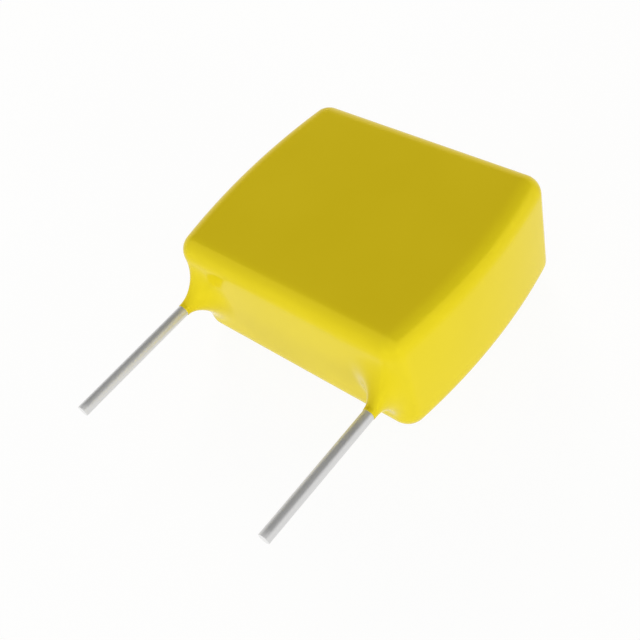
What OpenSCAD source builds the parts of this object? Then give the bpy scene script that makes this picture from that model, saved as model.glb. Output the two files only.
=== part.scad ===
// Radial leaded multilayer ceramic capacitor, dipped in epoxy.
// It lies on one large face: the leads point along -Y, X runs along their pitch and Z through the thickness.
// The origin is the centre of the face that it lies on.

/* [Leads] */
// Distance between the two lead axes
lead_pitch = 10.16; // [8:0.01:12.7]
// Diameter of the round lead wire
lead_d = 0.51; // [0.4:0.01:0.65]
// Bare round length of a lead, from the end of the coating to the cut end
lead_bare = 6; // [2:0.1:30]
// Thickness that the lead is flattened to where it lies on the chip
flat_t = 0.27; // [0.2:0.01:0.36]
// Distance from the flattened end of a lead to the chip's back edge
flat_inset = 1.3; // [1:0.1:2.5]

/* [Chip] */
// Size of the ceramic chip along the leads
chip_h = 8; // [6:0.1:14]
// Thickness of the ceramic chip
chip_t = 3.6; // [2:0.1:6]
// Thickness of the metal end caps
cap_t = 0.1; // [0.05:0.01:0.2]
// Width of the band that an end cap folds over the chip's four long faces
cap_band = 0.7; // [0.3:0.05:1.2]
// Number of electrode plates that hang on each end cap
plate_count = 8; // [2:1:12]
// Thickness of one electrode plate
plate_t = 0.05; // [0.02:0.01:0.06]
// Bare ceramic between a plate's free end and the other end cap
end_margin = 0.8; // [0.3:0.1:1.5]
// Bare ceramic between a plate's edge and the chip's front or back
edge_margin = 0.6; // [0.3:0.1:1.5]
// Ceramic over the outermost plates
cover_layer = 0.4; // [0.2:0.05:0.7]

/* [Solder] */
// Solder film between a lead and its end cap
solder_film = 0.05; // [0.02:0.01:0.15]
// Solder on each edge of the flattened lead
solder_flank = 0.06; // [0.03:0.01:0.2]
// Thickness of the solder bead where it runs out on the end cap
solder_toe = 0.04; // [0.02:0.01:0.08]
// Distance from each end of the solder bead to the chip's edge
solder_inset = 0.8; // [0.3:0.1:0.9]

/* [Coating] */
// Coating from the front of the chip to the face that the leads leave
front_cover = 1.1; // [0.9:0.05:2]
// Coating behind the chip
back_cover = 1.1; // [0.9:0.05:2]
// Coating over each large face of the chip
face_cover = 0.95; // [0.4:0.05:2]
// Coating from a lead axis to the widest part of the side
side_cover = 1.12; // [1:0.01:2]
// Radius of the rounded edges
edge_r = 0.85; // [0.5:0.05:1.1]
// How far each side bows out between its corners
side_bow = 0.35; // [0.1:0.05:0.6]
// Length of the meniscus that runs down a lead
meniscus_len = 1.2; // [0.6:0.1:3]
// Thickness of the meniscus where it ends on the lead
meniscus_lip = 0.025; // [0.01:0.005:0.1]
// Length of lead that is still round inside the end of the meniscus
lip_grip = 0.05; // [0.02:0.01:0.3]
// Angle that the meniscus reaches round the upright edge beside the lead
meniscus_wrap = 60; // [20:1:75]
// Share of the foot's radius that the meniscus needs to lift off the front face
meniscus_spread = 0.47; // [0.3:0.01:0.6]
// Share of the meniscus length that it needs to come in line with the lead
meniscus_taper = 0.42; // [0.3:0.01:0.6]

/* [Hidden] */
$fn = 64;

LEFT = -1;
RIGHT = 1;

// Outside of the coating
body_w = lead_pitch + 2 * side_cover;
body_h = chip_h + front_cover + back_cover;
body_t = chip_t + 2 * face_cover;
mid_z = body_t / 2;
front_y = -body_h / 2;
chip_front_y = front_y + front_cover;
chip_mid_y = chip_front_y + chip_h / 2;

// Corners at the centres of the rounded edges, and the arc of a bowed side between them
corner_x = body_w / 2 - edge_r - side_bow;
corner_y = body_h / 2 - edge_r;
bow_r = (pow(corner_y, 2) + pow(side_bow, 2)) / (2 * side_bow);
bow_angle = asin(corner_y / bow_r);
bow_x = corner_x + side_bow - bow_r;

// Steps that the skin takes up a rounded edge, round an upright corner and along a bowed side
edge_steps = 9;
corner_steps = 9;
bow_steps = 12;

// A lead keeps its metal where it is flattened
flat_w = PI * pow(lead_d / 2, 2) / flat_t;
flat_back_y = chip_front_y + chip_h - flat_inset;
coat_end_y = front_y - meniscus_len;
round_end_y = coat_end_y + lip_grip;
lead_x = lead_pitch / 2;
slice = 0.01;
hull_fn = 32;

// The flattened leads lie on the end caps with a film of solder between
chip_l = lead_pitch - flat_t - 2 * solder_film;
ceramic_l = chip_l - 2 * cap_t;
solder_rise = solder_film + flat_t;
solder_r = solder_rise - solder_toe;
solder_half_w = flat_w / 2 + solder_flank + solder_r;

// Plates of the two sets alternate through the thickness
plate_l = ceramic_l - end_margin;
plate_w = chip_h - 2 * edge_margin;
plate_step = (chip_t - 2 * cover_layer - plate_t) / (2 * plate_count - 1);

// The meniscus starts on the flat of the front face and wraps round the upright edge on its outer side
foot_sink = 0.04;
foot_r = mid_z - edge_r;
foot_flat = corner_x - lead_x;
foot_edge_r = edge_r - foot_sink;
foot_out = min(foot_r, foot_flat + edge_r * meniscus_wrap * PI / 180);
foot_pull = meniscus_spread * foot_r;
lip_r = lead_d / 2 + meniscus_lip;
lip_pull = meniscus_taper * meniscus_len;
around = 48;
along = 12;

// Centre of the rounded edge at a step along the right side
function bow_turn(step) = bow_angle * (2 * step / bow_steps - 1);
function edge_centre(step) = [bow_x + bow_r * cos(bow_turn(step)), bow_r * sin(bow_turn(step))];

// Stations on the right side run round its front corner, along its bow and round its back corner
side_stations = 2 * corner_steps + bow_steps + 1;
function bow_step(station) = max(0, min(bow_steps, station - corner_steps));
function corner_turn(station) =
    (90 - bow_angle) * (station - corner_steps - bow_step(station)) / corner_steps;
function facing(station) = bow_turn(bow_step(station)) + corner_turn(station);

// Rows of the skin: angle up the rounded bottom or top edge, and the height of that edge's centre
rows = concat(
    [for (step = [1 : edge_steps]) [90 * step / edge_steps - 90, edge_r]],
    [for (step = [0 : edge_steps - 1]) [90 * step / edge_steps, body_t - edge_r]]
);

// Slab with rounded edges: one skin from the flat bottom, round both sides, to the flat top
module slab() {
    skin = [
        for (side = [RIGHT, LEFT], station = [0 : side_stations - 1], row = rows)
            let (
                reach = edge_r * cos(row[0]) * [cos(facing(station)), sin(facing(station))],
                place = side * (edge_centre(bow_step(station)) + reach)
            )
                [place.x, place.y, row[1] + edge_r * sin(row[0])]
    ];
    rims = [
        for (z = [0, body_t], side = [RIGHT, LEFT], step = [0 : bow_steps])
            let (place = side * edge_centre(step)) [place.x, place.y, z]
    ];
    last = len(rows) - 1;
    rim_n = 2 * (bow_steps + 1);
    bottom_rim = len(skin);
    top_rim = bottom_rim + rim_n;
    turns = [
        for (half = [0, 1], station = [0 : side_stations - 1])
            let (next = (half * side_stations + station + 1) % (2 * side_stations))
                [
                    (half * side_stations + station) * len(rows),
                    next * len(rows),
                    half * (bow_steps + 1) + bow_step(station),
                    floor(next / side_stations) * (bow_steps + 1) + bow_step(next % side_stations)
                ]
    ];
    walls = [
        for (t = turns, row = [0 : last - 1])
            [t[0] + row, t[0] + row + 1, t[1] + row + 1, t[1] + row]
    ];
    top_edge = [
        for (t = turns)
            concat([t[0] + last], t[2] == t[3] ? [] : [top_rim + t[2]], [top_rim + t[3], t[1] + last])
    ];
    bottom_edge = [
        for (t = turns)
            concat([bottom_rim + t[2], t[0], t[1]], t[2] == t[3] ? [] : [bottom_rim + t[3]])
    ];
    flats = [
        [for (i = [0 : rim_n - 1]) bottom_rim + i],
        [for (i = [rim_n - 1 : -1 : 0]) top_rim + i]
    ];
    polyhedron(concat(skin, rims), concat(walls, top_edge, bottom_edge, flats));
}

// Angle turned round the upright edge at distance u outward from the lead, measured along the skin
function skin_turn(u) = max(0, u - foot_flat) / edge_r * 180 / PI;

// Place on the skin at that distance, sunk a little: x from the lead axis, y from the front face
function skin_place(u) =
    let (turn = skin_turn(u))
    [min(u, foot_flat) + foot_edge_r * sin(turn), foot_sink + foot_edge_r * (1 - cos(turn))];

function bezier(a, b, c, d, t) =
    pow(1 - t, 3) * a + 3 * pow(1 - t, 2) * t * b + 3 * (1 - t) * t * t * c + pow(t, 3) * d;

// One run of the meniscus from the skin to the lead, at an angle about the lead that starts at its outer side
function meniscus_run(angle) =
    let (
        u = (cos(angle) > 0 ? foot_out : foot_r) * cos(angle),
        v = foot_r * sin(angle),
        turn = skin_turn(u),
        place = skin_place(u),
        foot = [place.x, place.y, v],
        inward = -[u * cos(turn), u * sin(turn), v],
        lip = [lip_r * cos(angle), -meniscus_len, lip_r * sin(angle)],
        foot_handle = foot + foot_pull * inward / norm(inward),
        lip_handle = lip + [0, lip_pull, 0]
    )
    [for (i = [0 : along]) bezier(foot, foot_handle, lip_handle, lip, i / along)];

// Flare of coating on the right lead, lofted from the skin to the lead and closed inside the slab
module meniscus() {
    runs = [for (j = [0 : around - 1]) meniscus_run(360 * j / around)];
    ring = along + 1;
    root = around * ring;
    points = concat([for (run = runs) each run], [[0, edge_r, 0]]);
    sides = [
        for (j = [0 : around - 1])
            let (next = (j + 1) % around)
                for (i = [0 : along - 1])
                    each [
                        [j * ring + i, next * ring + i + 1, next * ring + i],
                        [j * ring + i, j * ring + i + 1, next * ring + i + 1]
                    ]
    ];
    closing = [for (j = [0 : around - 1]) [root, j * ring, (j + 1) % around * ring]];
    end = [[for (j = [around - 1 : -1 : 0]) j * ring + along]];
    translate([lead_x, front_y, mid_z])
        polyhedron(points, concat(sides, closing, end));
}

// Round wire that is flattened step by step inside the coating until it lies on the end cap
module lead_wire() {
    translate([lead_x, round_end_y, mid_z])
        rotate([90, 0, 0]) cylinder(d = lead_d, h = lead_bare + lip_grip);
    hull() {
        translate([lead_x, round_end_y, mid_z])
            rotate([90, 0, 0]) cylinder(d = lead_d - slice, h = slice, $fn = hull_fn);
        translate([lead_x - flat_t / 2, chip_front_y, mid_z - flat_w / 2])
            cube([flat_t, slice, flat_w]);
    }
    translate([lead_x - flat_t / 2, chip_front_y, mid_z - flat_w / 2])
        cube([flat_t, flat_back_y - chip_front_y, flat_w]);
}

// Outside of the fired ceramic, between the end caps
module ceramic_block() {
    translate([-ceramic_l / 2, chip_front_y, mid_z - chip_t / 2])
        cube([ceramic_l, chip_h, chip_t]);
}

// Every second plate of the stack, hung on one end cap and drawn out past the ceramic by a reach
module plates(side, reach) {
    first = side == LEFT ? 0 : 1;
    on_side(side)
        for (i = [first : 2 : 2 * plate_count - 1])
            translate([
                ceramic_l / 2 - plate_l,
                chip_mid_y - plate_w / 2,
                mid_z - chip_t / 2 + cover_layer + i * plate_step
            ])
                cube([plate_l + reach, plate_w, plate_t]);
}

// Outside of the metal cap on the right end of the chip, which folds a little way over the long faces
module cap_block() {
    translate([ceramic_l / 2 - cap_band, chip_front_y - cap_t, mid_z - chip_t / 2 - cap_t])
        cube([cap_band + cap_t, chip_h + 2 * cap_t, chip_t + 2 * cap_t]);
}

module end_cap() {
    difference() {
        cap_block();
        ceramic_block();
    }
}

// Outside of the solder on the right end cap, with hollow flanks up to the edges of the flattened lead
module bead_block() {
    translate([chip_l / 2, chip_front_y + solder_inset, mid_z])
        rotate([-90, 0, 0])
            linear_extrude(chip_h - 2 * solder_inset)
                difference() {
                    translate([-cap_t / 2, -solder_half_w])
                        square([cap_t / 2 + solder_rise, 2 * solder_half_w]);
                    for (edge = [LEFT, RIGHT])
                        translate([solder_rise, edge * solder_half_w]) circle(solder_r);
                }
}

module solder_bead() {
    difference() {
        bead_block();
        cap_block();
        lead_wire();
    }
}

module on_side(side) {
    mirror([side == LEFT ? 1 : 0, 0, 0]) children();
}

module epoxy_coating() {
    color("gold") difference() {
        union() {
            slab();
            for (side = [LEFT, RIGHT]) on_side(side) meniscus();
        }
        ceramic_block();
        for (side = [LEFT, RIGHT])
            on_side(side) {
                cap_block();
                bead_block();
                lead_wire();
            }
    }
}

module ceramic_chip() {
    color("tan") difference() {
        ceramic_block();
        for (side = [LEFT, RIGHT]) plates(side, cap_t);
    }
}

module electrode_plates_left() {
    color("darkgray") plates(LEFT, 0);
}

module electrode_plates_right() {
    color("dimgray") plates(RIGHT, 0);
}

module end_cap_left() {
    color("lightgray") on_side(LEFT) end_cap();
}

module end_cap_right() {
    color("lightgray") on_side(RIGHT) end_cap();
}

module solder_left() {
    color("slategray") on_side(LEFT) solder_bead();
}

module solder_right() {
    color("slategray") on_side(RIGHT) solder_bead();
}

module lead_left() {
    color("silver") on_side(LEFT) lead_wire();
}

module lead_right() {
    color("silver") on_side(RIGHT) lead_wire();
}

epoxy_coating();
ceramic_chip();
electrode_plates_left();
electrode_plates_right();
end_cap_left();
end_cap_right();
solder_left();
solder_right();
lead_left();
lead_right();
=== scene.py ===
import math

import bmesh
import bpy
from mathutils import Matrix, Vector


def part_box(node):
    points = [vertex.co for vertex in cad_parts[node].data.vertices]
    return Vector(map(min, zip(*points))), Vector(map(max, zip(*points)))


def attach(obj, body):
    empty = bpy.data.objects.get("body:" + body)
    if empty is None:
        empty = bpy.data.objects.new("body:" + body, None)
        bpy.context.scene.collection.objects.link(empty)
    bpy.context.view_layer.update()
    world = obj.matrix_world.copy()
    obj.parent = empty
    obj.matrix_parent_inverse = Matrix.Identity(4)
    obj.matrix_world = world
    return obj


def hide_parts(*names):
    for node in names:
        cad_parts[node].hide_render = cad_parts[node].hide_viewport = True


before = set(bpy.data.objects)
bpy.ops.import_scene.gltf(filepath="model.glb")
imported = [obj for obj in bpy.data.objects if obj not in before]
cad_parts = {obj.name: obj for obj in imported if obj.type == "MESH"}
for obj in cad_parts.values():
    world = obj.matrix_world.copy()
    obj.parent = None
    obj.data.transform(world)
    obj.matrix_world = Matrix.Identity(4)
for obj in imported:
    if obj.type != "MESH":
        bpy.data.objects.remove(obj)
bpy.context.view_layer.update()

MM = 0.001
QUARTER = math.pi / 2
SIDES = (("left", -1), ("right", 1))

# Outside of the solids, read from the frame
coat_low, coat_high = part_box("epoxy_coating")
lead_low, lead_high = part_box("lead_right")
CHIP_FRONT_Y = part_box("ceramic_chip")[0].y
CAP_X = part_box("end_cap_right")[1].x

BODY_T = coat_high.z
HALF_W = coat_high.x
HALF_H = coat_high.y
MID_Z = BODY_T / 2
FRONT_Y = -HALF_H
COAT_END_Y = coat_low.y
LEAD_X = (lead_low.x + lead_high.x) / 2
TIP_Y = lead_low.y
FLAT_BACK_Y = lead_high.y

# Form of the coating
EDGE_R = 0.85 * MM
SIDE_BOW = 0.35 * MM
MENISCUS_LEN = FRONT_Y - COAT_END_Y
MENISCUS_LIP = 0.025 * MM
MENISCUS_WRAP = math.radians(60)
MENISCUS_SPREAD = 0.47
MENISCUS_TAPER = 0.42

# Rounded lip of a meniscus: shares of its thickness forward and inward, the last of them inside the lead
LIP_ROUNDING = ((0.2, 0.1), (0.35, 0.35), (0.4, 2.0))

CORNER_X = HALF_W - EDGE_R - SIDE_BOW
CORNER_Y = HALF_H - EDGE_R
BOW_R = (CORNER_Y ** 2 + SIDE_BOW ** 2) / (2 * SIDE_BOW)
BOW_ANGLE = math.asin(CORNER_Y / BOW_R)
BOW_X = CORNER_X + SIDE_BOW - BOW_R

# Form of a lead, with the edge of its cut end broken in two steps
LEAD_R = 0.51 * MM / 2
LIP_GRIP = 0.05 * MM
ROUND_END_Y = COAT_END_Y + LIP_GRIP
FLAT_T = 0.27 * MM
FLAT_W = math.pi * LEAD_R ** 2 / FLAT_T
CUT_BREAK = 0.02 * MM
CUT_STEP = 0.3 * CUT_BREAK

# Foot of a meniscus on the front face
FOOT_R = MID_Z - EDGE_R
FOOT_FLAT = CORNER_X - LEAD_X
FOOT_OUT = FOOT_FLAT + EDGE_R * MENISCUS_WRAP
LIP_R = LEAD_R + MENISCUS_LIP

# Steps of the meshes
MIDDLE_STEPS = 12
FOOT_STEPS = 10
CORNER_STEPS = 14
BOW_STEPS = 28
EDGE_STEPS = 12
WALL_STEPS = 12
PATCH_EDGE_STEPS = 4
PATCH_MARGIN = 0.45 * MM
SETTLE_RINGS = 5
RUN_RINGS = 22
LEAD_SIDES = 64
LEAD_RINGS = 16
FLATTEN_RINGS = 8

# Points closer than JOIN are one, and a room reaches SEAT past the piece that it is cut for
JOIN = 0.0001 * MM
SEAT = 0.002 * MM

# Edges that turn by more degrees than this stay sharp
COATING_SHARP = 50
LEAD_SHARP = 35

# Noise values mostly lie in this range
NOISE_LOW = 0.3
NOISE_HIGH = 0.7

# Finish of the coating: noise scales are features per metre
EPOXY_DEEP = (0.67, 0.524, 0.010)
EPOXY_PALE = (0.69, 0.540, 0.012)
EPOXY_ROUGH = (0.11, 0.14)
EPOXY_IOR = 1.17
EPOXY_METAL = 0.15
DRIFT_SCALE = 260
DRIFT_DETAIL = 2
PEEL_SCALE = 2600
PEEL_DETAIL = 3
PEEL_DEPTH = 0.0005 * MM
PEEL_STRENGTH = 0.2

# Finish of the leads: the streaks are drawn out along Y
WIRE_DEEP = (0.71, 0.71, 0.71)
WIRE_PALE = (0.77, 0.77, 0.76)
WIRE_ROUGH = (0.46, 0.52)
CUT_METAL = (0.9, 0.9, 0.9)
STREAK_SCALE = 9000
STREAK_DETAIL = 3
STREAK_STRETCH = (1, 0.02, 1)
STREAK_DEPTH = 0.0002 * MM
STREAK_STRENGTH = 0.15

# Floor, a hair below the part so that their faces don't coincide
FLOOR_HALF = 0.3
FLOOR_DROP = 0.005 * MM
FLOOR_GLOW = 0.93
FLOOR_COLOUR = (0.95, 0.95, 0.95, 1)
WHITE = (1, 1, 1)

# Light of the room, and the brightness of its walls and of a dim patch of ceiling that gloss shows
ROOM_LIGHT = 0.5
WALL_LIGHT = 1.0
DIM_LIGHT = 0.24

# Bounds of the dim patch, as parts of a direction of length 1 along Y, X and Z
DIM_FRONT = -0.133
DIM_RIGHT = 0.74
DIM_BLUR = 0.02
DIM_FADE_LOW = 0.3
DIM_FADE_HIGH = 0.55

# Lamps round the part, most of them low
LAMP_DISTANCE = 0.3
LAMP_SIZE = 0.12
LAMP_LOW = 7
LAMP_HIGH = 25
COOL_LIGHT = (0.9, 1.0, 0.95)
WARM_LIGHT = (1.0, 0.94, 0.85)

# Camera that the photo was taken with
CAM_AZIMUTH = 54.933
CAM_ELEVATION = 48.544
CAM_ROLL = math.radians(-19.761)
CAM_DISTANCE = 40.46 * MM
CAM_RIGHT = 1.937 * MM
CAM_UP = 2.767 * MM
CAM_NEAR = 1 * MM
CAM_FAR = 10
SENSOR = 36.0
FOCAL_PIXELS = 957.872
IMAGE_PIXELS = 640


def spaced(start, end, steps):
    """Evenly spaced values from start to end."""
    return [start + (end - start) * i / steps for i in range(steps + 1)]


def outline():
    """Right half of the outline, front to back: centre of the rounded edge and the way it faces."""
    patch_x = LEAD_X - FOOT_R - PATCH_MARGIN
    front_x = spaced(0, patch_x, MIDDLE_STEPS) + spaced(patch_x, CORNER_X, FOOT_STEPS)[1:]
    front = [(Vector((x, -CORNER_Y)), -QUARTER) for x in front_x]
    corner = [(front[-1][0], a) for a in spaced(-QUARTER, -BOW_ANGLE, CORNER_STEPS)[1:]]
    bow = []
    for a in spaced(-BOW_ANGLE, BOW_ANGLE, BOW_STEPS)[1:]:
        bow.append((Vector((BOW_X + BOW_R * math.cos(a), BOW_R * math.sin(a))), a))
    bow[-1] = (Vector((CORNER_X, CORNER_Y)), BOW_ANGLE)
    back_corner = [(bow[-1][0], a) for a in spaced(BOW_ANGLE, QUARTER, CORNER_STEPS)[1:]]
    back = [(Vector((x, CORNER_Y)), QUARTER) for x in reversed(front_x[:-1])]
    return front + corner + bow + back_corner + back


def section():
    """Up the side of the slab: tilt of the skin, and height of the centre that it turns about."""
    low = [(a, EDGE_R) for a in spaced(-QUARTER, 0, EDGE_STEPS)]
    wall = [(0.0, z) for z in spaced(EDGE_R, BODY_T - EDGE_R, WALL_STEPS)[1:-1]]
    high = [(a, BODY_T - EDGE_R) for a in spaced(0, QUARTER, EDGE_STEPS)]
    return low + wall + high


def skin_point(place, facing, tilt, height):
    """Point on the rounded skin about a centre."""
    reach = EDGE_R * math.cos(tilt)
    return Vector((
        place.x + reach * math.cos(facing),
        place.y + reach * math.sin(facing),
        height + EDGE_R * math.sin(tilt),
    ))


def skin_turn(u):
    """Angle turned round the upright edge at distance u outward from the lead along the skin."""
    return max(0.0, u - FOOT_FLAT) / EDGE_R


def front_skin(u, t):
    """Point on the skin by a lead, at distance u outward from its axis and t up from its height."""
    flat_t = max(-FOOT_R, min(FOOT_R, t))
    place = Vector((LEAD_X + min(u, FOOT_FLAT), -CORNER_Y))
    return skin_point(place, skin_turn(u) - QUARTER, (t - flat_t) / EDGE_R, MID_Z + flat_t)


def foot_reach(angle):
    """Distances outward and up from a lead to the foot of its meniscus, at an angle about the lead."""
    out = FOOT_OUT if math.cos(angle) > 0 else FOOT_R
    return out * math.cos(angle), FOOT_R * math.sin(angle)


def bezier(a, b, c, d, t):
    """Point on a cubic curve."""
    return (1 - t) ** 3 * a + 3 * (1 - t) ** 2 * t * b + 3 * (1 - t) * t * t * c + t ** 3 * d


def meniscus_run(angle):
    """One run of the meniscus from its foot on the skin to its rounded lip on the lead."""
    u, v = foot_reach(angle)
    turn = skin_turn(u)
    around = Vector((math.cos(angle), 0, math.sin(angle)))
    axis = Vector((LEAD_X, COAT_END_Y, MID_Z))
    forward = Vector((0, -1, 0))
    foot = front_skin(u, v)
    inward = -Vector((u * math.cos(turn), u * math.sin(turn), v)).normalized()
    lip = axis + LIP_R * around
    foot_handle = foot + MENISCUS_SPREAD * FOOT_R * inward
    lip_handle = lip - MENISCUS_TAPER * MENISCUS_LEN * forward
    run = [bezier(foot, foot_handle, lip_handle, lip, t) for t in spaced(0, 1, RUN_RINGS)[1:]]
    for ahead, under in LIP_ROUNDING:
        run.append(lip + MENISCUS_LIP * (ahead * forward - under * around))
    return run


def face(bm, *corners):
    """Face through its corners, where a corner that comes twice counts once."""
    distinct = list(dict.fromkeys(corners))
    if len(distinct) > 2:
        bm.faces.new(distinct)


def skin_grid(bm, columns, rows):
    """Points of the skin, column by column. Columns about one centre share their ends."""
    grid = []
    for place, facing in columns:
        line = [bm.verts.new(skin_point(place, facing, *row)) for row in rows]
        grid.append(line)
    for before, line, (old, _), (new, _) in zip(grid, grid[1:], columns, columns[1:]):
        if old == new:
            for end in (0, -1):
                bm.verts.remove(line[end])
                line[end] = before[end]
    return grid


def flat_face(bm, rim, height, upward):
    """Large face of the slab, a grid between the front, bowed side and back of its rim."""
    steps = MIDDLE_STEPS + FOOT_STEPS
    side_end = steps + BOW_STEPS + 1
    front, side, back = rim[:steps], rim[steps:side_end], rim[side_end:]
    lines = [front + side[:1]]
    for end in side[1:-1]:
        inner = [bm.verts.new((v.co.x * end.co.x / CORNER_X, end.co.y, height)) for v in front]
        lines.append(inner + [end])
    lines.append(back[::-1] + side[-1:])
    for low, high in zip(lines, lines[1:]):
        for i in range(steps):
            ring = [low[i], low[i + 1], high[i + 1], high[i]]
            face(bm, *(ring if upward else ring[::-1]))


def meniscus_patch(bm, grid, columns, rows, first, last, low, high):
    """Skin round a lead, from a frame of grid points to the foot of the meniscus and down to its lip."""
    loop = [(c, low) for c in range(first, last)] + [(last, r) for r in range(low, high)]
    loop += [(c, high) for c in range(last, first, -1)] + [(first, r) for r in range(high, low, -1)]
    runs = []
    for c, r in loop:
        place, facing = columns[c]
        tilt, height = rows[r]
        u = place.x - LEAD_X + EDGE_R * (facing + QUARTER)
        t = height - MID_Z + EDGE_R * tilt
        out = FOOT_OUT if u > 0 else FOOT_R
        angle = math.atan2(t / FOOT_R, u / out)
        foot_u, foot_v = foot_reach(angle)
        run = [grid[c][r]]
        for s in spaced(0, 1, SETTLE_RINGS)[1:]:
            run.append(bm.verts.new(front_skin(u + (foot_u - u) * s, t + (foot_v - t) * s)))
        run += [bm.verts.new(p) for p in meniscus_run(angle)]
        runs.append(run)
    end = bm.verts.new((LEAD_X, runs[0][-1].co.y, MID_Z))
    for run, following in zip(runs, runs[1:] + runs[:1]):
        for i in range(len(run) - 1):
            face(bm, run[i], following[i], following[i + 1], run[i + 1])
        face(bm, run[-1], following[-1], end)


def coating_skin():
    """Outside of the coating: its right half, mirrored."""
    bm = bmesh.new()
    columns, rows = outline(), section()
    grid = skin_grid(bm, columns, rows)
    first, last = MIDDLE_STEPS, MIDDLE_STEPS + FOOT_STEPS + CORNER_STEPS
    low = EDGE_STEPS - PATCH_EDGE_STEPS
    high = len(rows) - 1 - low
    for c in range(len(columns) - 1):
        for r in range(len(rows) - 1):
            if first <= c < last and low <= r < high:
                continue
            face(bm, grid[c][r], grid[c + 1][r], grid[c + 1][r + 1], grid[c][r + 1])
    for end, height in ((0, 0.0), (-1, BODY_T)):
        rim = list(dict.fromkeys(line[end] for line in grid))
        flat_face(bm, rim, height, upward=end == -1)
    meniscus_patch(bm, grid, columns, rows, first, last, low, high)
    inside = [v for v in bm.verts if not v.link_faces]
    bmesh.ops.delete(bm, geom=inside, context="VERTS")
    half = bm.verts[:] + bm.edges[:] + bm.faces[:]
    bmesh.ops.mirror(bm, geom=half, matrix=Matrix(), merge_dist=JOIN, axis="X")
    bmesh.ops.recalc_face_normals(bm, faces=bm.faces[:])
    return bm


def lead_section(angle, flatness):
    """Point of a lead's section at an angle about its axis, from round (0) to flattened (1)."""
    from_corner = angle + QUARTER / 2
    side = math.floor(from_corner / QUARTER) % 4
    along = (from_corner % QUARTER) / (QUARTER / 2) - 1
    half = Vector((FLAT_T / 2, FLAT_W / 2))
    flat = (
        Vector((half.x, half.y * along)),
        Vector((-half.x * along, half.y)),
        Vector((-half.x, -half.y * along)),
        Vector((half.x * along, -half.y)),
    )[side]
    wire = LEAD_R * Vector((math.cos(angle), math.sin(angle)))
    return wire.lerp(flat, flatness)


def lead_stations():
    """Along a lead from its cut tip: place, flatness and the share of the full section."""
    stations = [
        (TIP_Y, 0.0, 1 - CUT_BREAK / LEAD_R),
        (TIP_Y + CUT_STEP, 0.0, 1 - CUT_STEP / LEAD_R),
    ]
    stations += [(y, 0.0, 1.0) for y in spaced(TIP_Y + CUT_BREAK, ROUND_END_Y, LEAD_RINGS)]
    for s in spaced(0, 1, FLATTEN_RINGS)[1:]:
        stations.append((ROUND_END_Y + (CHIP_FRONT_Y - ROUND_END_Y) * s, s, 1.0))
    return stations


def lead_skin(side, room=0.0):
    """Lead wire, cut square and flattened inside the coating, or a room for it that is a hair larger."""
    bm = bmesh.new()
    rings = []
    for y, flatness, share in lead_stations() + [(FLAT_BACK_Y + room, 1.0, 1.0)]:
        ring = []
        for i in range(LEAD_SIDES):
            p = share * (1 + room / LEAD_R) * lead_section(2 * math.pi * i / LEAD_SIDES, flatness)
            ring.append(bm.verts.new((side * LEAD_X + p.x, y, MID_Z + p.y)))
        rings.append(ring)
    for a, b in zip(rings, rings[1:]):
        for i in range(LEAD_SIDES):
            j = (i + 1) % LEAD_SIDES
            face(bm, a[i], a[j], b[j], b[i])
    face(bm, *rings[0])
    face(bm, *rings[-1])
    bmesh.ops.recalc_face_normals(bm, faces=bm.faces[:])
    return bm


def block(low, high):
    """Box between two corners."""
    bm = bmesh.new()
    bmesh.ops.create_cube(bm, size=1)
    centre = (low + high) / 2
    span = high - low
    bmesh.ops.transform(bm, matrix=Matrix.LocRotScale(centre, None, span), verts=bm.verts[:])
    return bm


def solder_room(name, side):
    """Room of a solder bead, which reaches a little way into the room of the cap that it sits on."""
    bm = bmesh.new()
    bm.from_mesh(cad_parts["solder_" + name].data)
    bmesh.ops.remove_doubles(bm, verts=bm.verts[:], dist=JOIN)
    for v in bm.verts:
        if abs(v.co.x) < CAP_X + JOIN:
            v.co.x -= side * SEAT
    return bm


def make_object(name, bm):
    """Object of a finished mesh."""
    mesh = bpy.data.meshes.new(name)
    bm.to_mesh(mesh)
    bm.free()
    piece = bpy.data.objects.new(name, mesh)
    bpy.context.scene.collection.objects.link(piece)
    return piece


def carve(piece, cutters):
    """Takes the cutters out of a piece and removes them."""
    for cutter in cutters:
        cut = piece.modifiers.new("carve", "BOOLEAN")
        cut.operation = "DIFFERENCE"
        cut.solver = "MANIFOLD"
        cut.object = cutter
    graph = bpy.context.evaluated_depsgraph_get()
    carved = bpy.data.meshes.new_from_object(piece.evaluated_get(graph))
    piece.modifiers.clear()
    plain = piece.data
    piece.data = carved
    bpy.data.meshes.remove(plain)
    carved.name = piece.name
    for cutter in cutters:
        bpy.data.meshes.remove(cutter.data)


def smooth(piece, sharp_degrees):
    """Smooth shading that keeps the sharp edges and the flat faces."""
    piece.data.shade_smooth()
    piece.data.set_sharp_from_angle(angle=math.radians(sharp_degrees))
    even = piece.modifiers.new("even_normals", "WEIGHTED_NORMAL")
    even.keep_sharp = True


def finish_piece(piece, node, material):
    """Puts a new piece on the body in place of its node."""
    piece.data.materials.clear()
    piece.data.materials.append(material)
    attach(piece, "root")
    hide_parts(node)


def make_leads(material):
    """Both leads."""
    for name, side in SIDES:
        lead = make_object("wire_" + name, lead_skin(side))
        smooth(lead, LEAD_SHARP)
        finish_piece(lead, "lead_" + name, material)


def make_coating(material):
    """Coating with the room for the chip, its caps, the solder and the leads taken out."""
    coating = make_object("dipped_coating", coating_skin())
    rooms = [block(*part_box(node)) for node in ("ceramic_chip", "end_cap_left", "end_cap_right")]
    for name, side in SIDES:
        rooms += [solder_room(name, side), lead_skin(side, SEAT)]
    carve(coating, [make_object("room", room) for room in rooms])
    smooth(coating, COATING_SHARP)
    finish_piece(coating, "epoxy_coating", material)


def new_material(name):
    """Material with its node tree and main shader."""
    material = bpy.data.materials.new(name)
    material.use_nodes = True
    tree = material.node_tree
    return material, tree, tree.nodes["Principled BSDF"]


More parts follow.
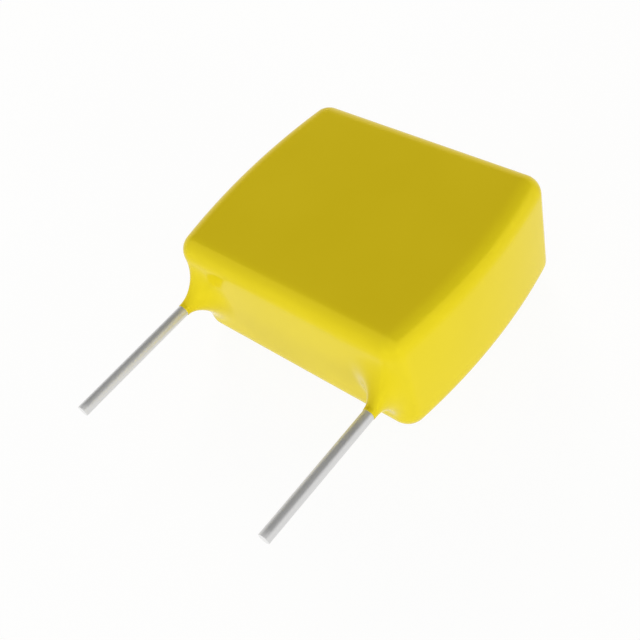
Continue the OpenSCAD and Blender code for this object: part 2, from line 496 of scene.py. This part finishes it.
def feed(tree, socket, value):
    """Links a socket to an output, or sets it to a value."""
    if isinstance(value, bpy.types.NodeSocket):
        tree.links.new(value, socket)
    else:
        socket.default_value = value


def add_node(tree, kind, **inputs):
    """Shader node with its inputs set or linked."""
    node = tree.nodes.new(kind)
    for name, value in inputs.items():
        feed(tree, node.inputs[name], value)
    return node


def grain(tree, scale, detail, stretch=(1, 1, 1)):
    """Noise in the object's own space, with scale in features per metre."""
    place = tree.nodes.new("ShaderNodeTexCoord").outputs["Object"]
    mapping = add_node(tree, "ShaderNodeMapping", Vector=place, Scale=stretch)
    noise = add_node(tree, "ShaderNodeTexNoise", Vector=mapping.outputs[0], Scale=scale, Detail=detail)
    return noise.outputs["Fac"]


def change(tree, value, low, high, start, end, interpolation):
    """Goes from start to end while a value goes from low to high."""
    ranged = tree.nodes.new("ShaderNodeMapRange")
    ranged.interpolation_type = interpolation
    tree.links.new(value, ranged.inputs["Value"])
    ranged.inputs["From Min"].default_value = low
    ranged.inputs["From Max"].default_value = high
    ranged.inputs["To Min"].default_value = start
    ranged.inputs["To Max"].default_value = end
    return ranged.outputs["Result"]


def ramp(tree, value, low, high, start, end):
    """Smooth change from start to end while a value goes from low to high."""
    return change(tree, value, low, high, start, end, "SMOOTHSTEP")


def spread(tree, value, low, high):
    """Noise value taken to a range."""
    return change(tree, value, NOISE_LOW, NOISE_HIGH, low, high, "LINEAR")


def mix_values(tree, factor, first, second):
    """Value between two, which are numbers or links."""
    mix = tree.nodes.new("ShaderNodeMix")
    tree.links.new(factor, mix.inputs["Factor"])
    feed(tree, mix.inputs["A"], first)
    feed(tree, mix.inputs["B"], second)
    return mix.outputs["Result"]


def mix_colours(tree, factor, first, second):
    """Colour between two, the second of which may be a link."""
    mix = tree.nodes.new("ShaderNodeMix")
    mix.data_type = "RGBA"
    tree.links.new(factor, mix.inputs["Factor"])
    a, b = [i for i in mix.inputs if i.name in ("A", "B") and i.type == "RGBA"]
    feed(tree, a, (*first, 1))
    feed(tree, b, second if isinstance(second, bpy.types.NodeSocket) else (*second, 1))
    return next(o for o in mix.outputs if o.type == "RGBA")


def blend_colours(tree, factor, first, second):
    """Colour between two, by a noise value."""
    return mix_colours(tree, spread(tree, factor, 0, 1), first, second)


def relief(tree, shader, height, depth, strength):
    """Fine relief on the surface."""
    bump = add_node(tree, "ShaderNodeBump", Height=height, Strength=strength, Distance=depth)
    tree.links.new(bump.outputs["Normal"], shader.inputs["Normal"])


def surface(name, deep, pale, rough, metal, scale, detail, depth, strength):
    """Material with a grain in its colour, gloss and relief."""
    material, tree, shader = new_material(name)
    pattern = grain(tree, scale, detail)
    tree.links.new(blend_colours(tree, pattern, deep, pale), shader.inputs["Base Color"])
    tree.links.new(spread(tree, pattern, *rough), shader.inputs["Roughness"])
    shader.inputs["Metallic"].default_value = metal
    relief(tree, shader, pattern, depth, strength)
    return material


def epoxy_material():
    """Glossy dipped epoxy: slight drift of tone over the body and fine orange peel."""
    material, tree, shader = new_material("yellow_epoxy")
    drift = grain(tree, DRIFT_SCALE, DRIFT_DETAIL)
    peel = grain(tree, PEEL_SCALE, PEEL_DETAIL)
    tone = blend_colours(tree, drift, EPOXY_DEEP, EPOXY_PALE)
    tree.links.new(tone, shader.inputs["Base Color"])
    tree.links.new(spread(tree, peel, *EPOXY_ROUGH), shader.inputs["Roughness"])
    shader.inputs["IOR"].default_value = EPOXY_IOR
    shader.inputs["Metallic"].default_value = EPOXY_METAL
    relief(tree, shader, peel, PEEL_DEPTH, PEEL_STRENGTH)
    return material


def wire_material():
    """Tin plate on drawn wire: fine streaks along the lead, and bright metal where it was cut."""
    material, tree, shader = new_material("tinned_wire")
    streaks = grain(tree, STREAK_SCALE, STREAK_DETAIL, STREAK_STRETCH)
    place = tree.nodes.new("ShaderNodeTexCoord").outputs["Object"]
    along = add_node(tree, "ShaderNodeSeparateXYZ", Vector=place).outputs["Y"]
    plated = ramp(tree, along, TIP_Y, TIP_Y + CUT_BREAK / 2, 0.0, 1.0)
    tone = blend_colours(tree, streaks, WIRE_DEEP, WIRE_PALE)
    tree.links.new(mix_colours(tree, plated, CUT_METAL, tone), shader.inputs["Base Color"])
    tree.links.new(spread(tree, streaks, *WIRE_ROUGH), shader.inputs["Roughness"])
    shader.inputs["Metallic"].default_value = 1.0
    relief(tree, shader, streaks, STREAK_DEPTH, STREAK_STRENGTH)
    return material


def ceramic_material():
    """Matt fired ceramic."""
    return surface(
        "fired_ceramic", deep=(0.44, 0.34, 0.23), pale=(0.53, 0.42, 0.30), rough=(0.62, 0.8), metal=0.0,
        scale=5000, detail=6, depth=0.006 * MM, strength=0.5,
    )


def plate_material():
    """Dull metal film of the electrodes."""
    return surface(
        "electrode_nickel", deep=(0.42, 0.41, 0.38), pale=(0.50, 0.48, 0.45), rough=(0.38, 0.55), metal=1.0,
        scale=4000, detail=5, depth=0.002 * MM, strength=0.3,
    )


def cap_material():
    """Fired metal of the end caps."""
    return surface(
        "cap_silver", deep=(0.62, 0.61, 0.57), pale=(0.70, 0.69, 0.66), rough=(0.4, 0.6), metal=1.0,
        scale=7000, detail=6, depth=0.005 * MM, strength=0.5,
    )


def solder_material():
    """Satin solder."""
    return surface(
        "solder", deep=(0.46, 0.47, 0.48), pale=(0.56, 0.57, 0.58), rough=(0.22, 0.4), metal=1.0,
        scale=1500, detail=4, depth=0.01 * MM, strength=0.4,
    )


def dress(material, *nodes):
    """Gives carried-over nodes their material."""
    for node in nodes:
        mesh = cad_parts[node].data
        mesh.materials.clear()
        mesh.materials.append(material)


def dress_inner_nodes():
    """Materials of the pieces inside the coating."""
    dress(ceramic_material(), "ceramic_chip")
    dress(plate_material(), "electrode_plates_left", "electrode_plates_right")
    dress(cap_material(), "end_cap_left", "end_cap_right")
    dress(solder_material(), "solder_left", "solder_right")


def seen_directly(tree):
    """1 for rays that show a surface to the camera, in a reflection or through a clear piece, else 0."""
    path = tree.nodes.new("ShaderNodeLightPath").outputs
    seen = path["Is Camera Ray"]
    for kind in ("Is Glossy Ray", "Is Transmission Ray"):
        either = tree.nodes.new("ShaderNodeMath")
        either.operation = "MAXIMUM"
        tree.links.new(seen, either.inputs[0])
        tree.links.new(path[kind], either.inputs[1])
        seen = either.outputs[0]
    return seen


def floor_material():
    """White floor that the camera and reflections see as white, with the object's soft shadow."""
    material, tree, shader = new_material("white_floor")
    tree.nodes.remove(shader)
    share = mix_values(tree, seen_directly(tree), 0.0, FLOOR_GLOW)
    matt = add_node(tree, "ShaderNodeBsdfDiffuse", Color=FLOOR_COLOUR)
    glow = add_node(tree, "ShaderNodeEmission", Color=(*WHITE, 1), Strength=1.0)
    mix = tree.nodes.new("ShaderNodeMixShader")
    tree.links.new(share, mix.inputs[0])
    tree.links.new(matt.outputs[0], mix.inputs[1])
    tree.links.new(glow.outputs[0], mix.inputs[2])
    tree.links.new(mix.outputs[0], tree.nodes["Material Output"].inputs["Surface"])
    return material


def make_floor():
    """Wide floor under the part."""
    bm = bmesh.new()
    bmesh.ops.create_grid(bm, x_segments=1, y_segments=1, size=FLOOR_HALF)
    floor = make_object("floor", bm)
    floor.location.z = -FLOOR_DROP
    floor.data.materials.append(floor_material())


def wall_light(tree):
    """Brightness of the walls by direction: pale, with a dim patch of ceiling at the back."""
    way = tree.nodes.new("ShaderNodeTexCoord").outputs["Generated"]
    split = add_node(tree, "ShaderNodeSeparateXYZ", Vector=way).outputs
    behind = ramp(tree, split["Y"], DIM_FRONT - DIM_BLUR, DIM_FRONT + DIM_BLUR, 0.0, 1.0)
    leftward = ramp(tree, split["X"], DIM_RIGHT - DIM_BLUR, DIM_RIGHT + DIM_BLUR, 1.0, 0.0)
    above = ramp(tree, split["Z"], DIM_FADE_LOW, DIM_FADE_HIGH, 0.0, 1.0)
    patch = mix_values(tree, above, 0.0, mix_values(tree, behind, 0.0, leftward))
    return mix_values(tree, patch, WALL_LIGHT, DIM_LIGHT)


def make_room():
    """Dim room whose pale walls the camera and reflections see."""
    world = bpy.data.worlds.new("room")
    world.use_nodes = True
    tree = world.node_tree
    seen = seen_directly(tree)
    glossy = tree.nodes.new("ShaderNodeLightPath").outputs["Is Glossy Ray"]
    walls = mix_values(tree, glossy, WALL_LIGHT, wall_light(tree))
    back = tree.nodes["Background"]
    tree.links.new(mix_colours(tree, seen, WARM_LIGHT, WHITE), back.inputs["Color"])
    tree.links.new(mix_values(tree, seen, ROOM_LIGHT, walls), back.inputs["Strength"])
    bpy.context.scene.world = world


def direction(azimuth, elevation):
    """Way from the part at an azimuth from its front and an elevation, in degrees."""
    a, e = math.radians(azimuth), math.radians(elevation)
    return Vector((math.sin(a) * math.cos(e), -math.cos(a) * math.cos(e), math.sin(e)))


def soft_lamp(name, azimuth, elevation, power, colour):
    """Square soft lamp that faces the part and leaves no glint on it."""
    lamp = bpy.data.lights.new(name, "AREA")
    lamp.shape = "SQUARE"
    lamp.size = LAMP_SIZE
    lamp.energy = power
    lamp.color = colour
    holder = bpy.data.objects.new(name, lamp)
    way = direction(azimuth, elevation)
    holder.location = Vector((0, 0, MID_Z)) + LAMP_DISTANCE * way
    holder.rotation_mode = "QUATERNION"
    holder.rotation_quaternion = way.to_track_quat("Z", "Y")
    holder.visible_camera = False
    holder.visible_glossy = False
    bpy.context.scene.collection.objects.link(holder)


def make_light():
    """Room light and soft lamps round the part."""
    make_room()
    soft_lamp("front_left", azimuth=-45, elevation=LAMP_LOW, power=0.30, colour=COOL_LIGHT)
    soft_lamp("front", azimuth=10, elevation=LAMP_LOW, power=0.43, colour=COOL_LIGHT)
    soft_lamp("right", azimuth=75, elevation=LAMP_LOW, power=0.5, colour=COOL_LIGHT)
    soft_lamp("back_right", azimuth=135, elevation=LAMP_LOW, power=0.307, colour=COOL_LIGHT)
    soft_lamp("back_left", azimuth=225, elevation=LAMP_HIGH, power=0.40, colour=WARM_LIGHT)


def make_camera():
    """Camera of the photo."""
    back = direction(CAM_AZIMUTH, CAM_ELEVATION)
    turn = math.radians(CAM_AZIMUTH)
    level = Vector((math.cos(turn), math.sin(turn), 0))
    upright = back.cross(level)
    right = math.cos(CAM_ROLL) * level + math.sin(CAM_ROLL) * upright
    up = -math.sin(CAM_ROLL) * level + math.cos(CAM_ROLL) * upright
    camera = bpy.data.objects.new("camera", bpy.data.cameras.new("camera"))
    camera.data.sensor_width = SENSOR
    camera.data.lens = SENSOR * FOCAL_PIXELS / IMAGE_PIXELS
    camera.data.clip_start = CAM_NEAR
    camera.data.clip_end = CAM_FAR
    place = Vector((0, 0, MID_Z)) - CAM_RIGHT * right - CAM_UP * up + CAM_DISTANCE * back
    camera.matrix_world = Matrix.Translation(place) @ Matrix((right, up, back)).transposed().to_4x4()
    bpy.context.scene.collection.objects.link(camera)
    bpy.context.scene.camera = camera


bpy.context.scene.view_settings.view_transform = "Standard"
make_camera()
make_floor()
make_light()
make_coating(epoxy_material())
make_leads(wire_material())
dress_inner_nodes()
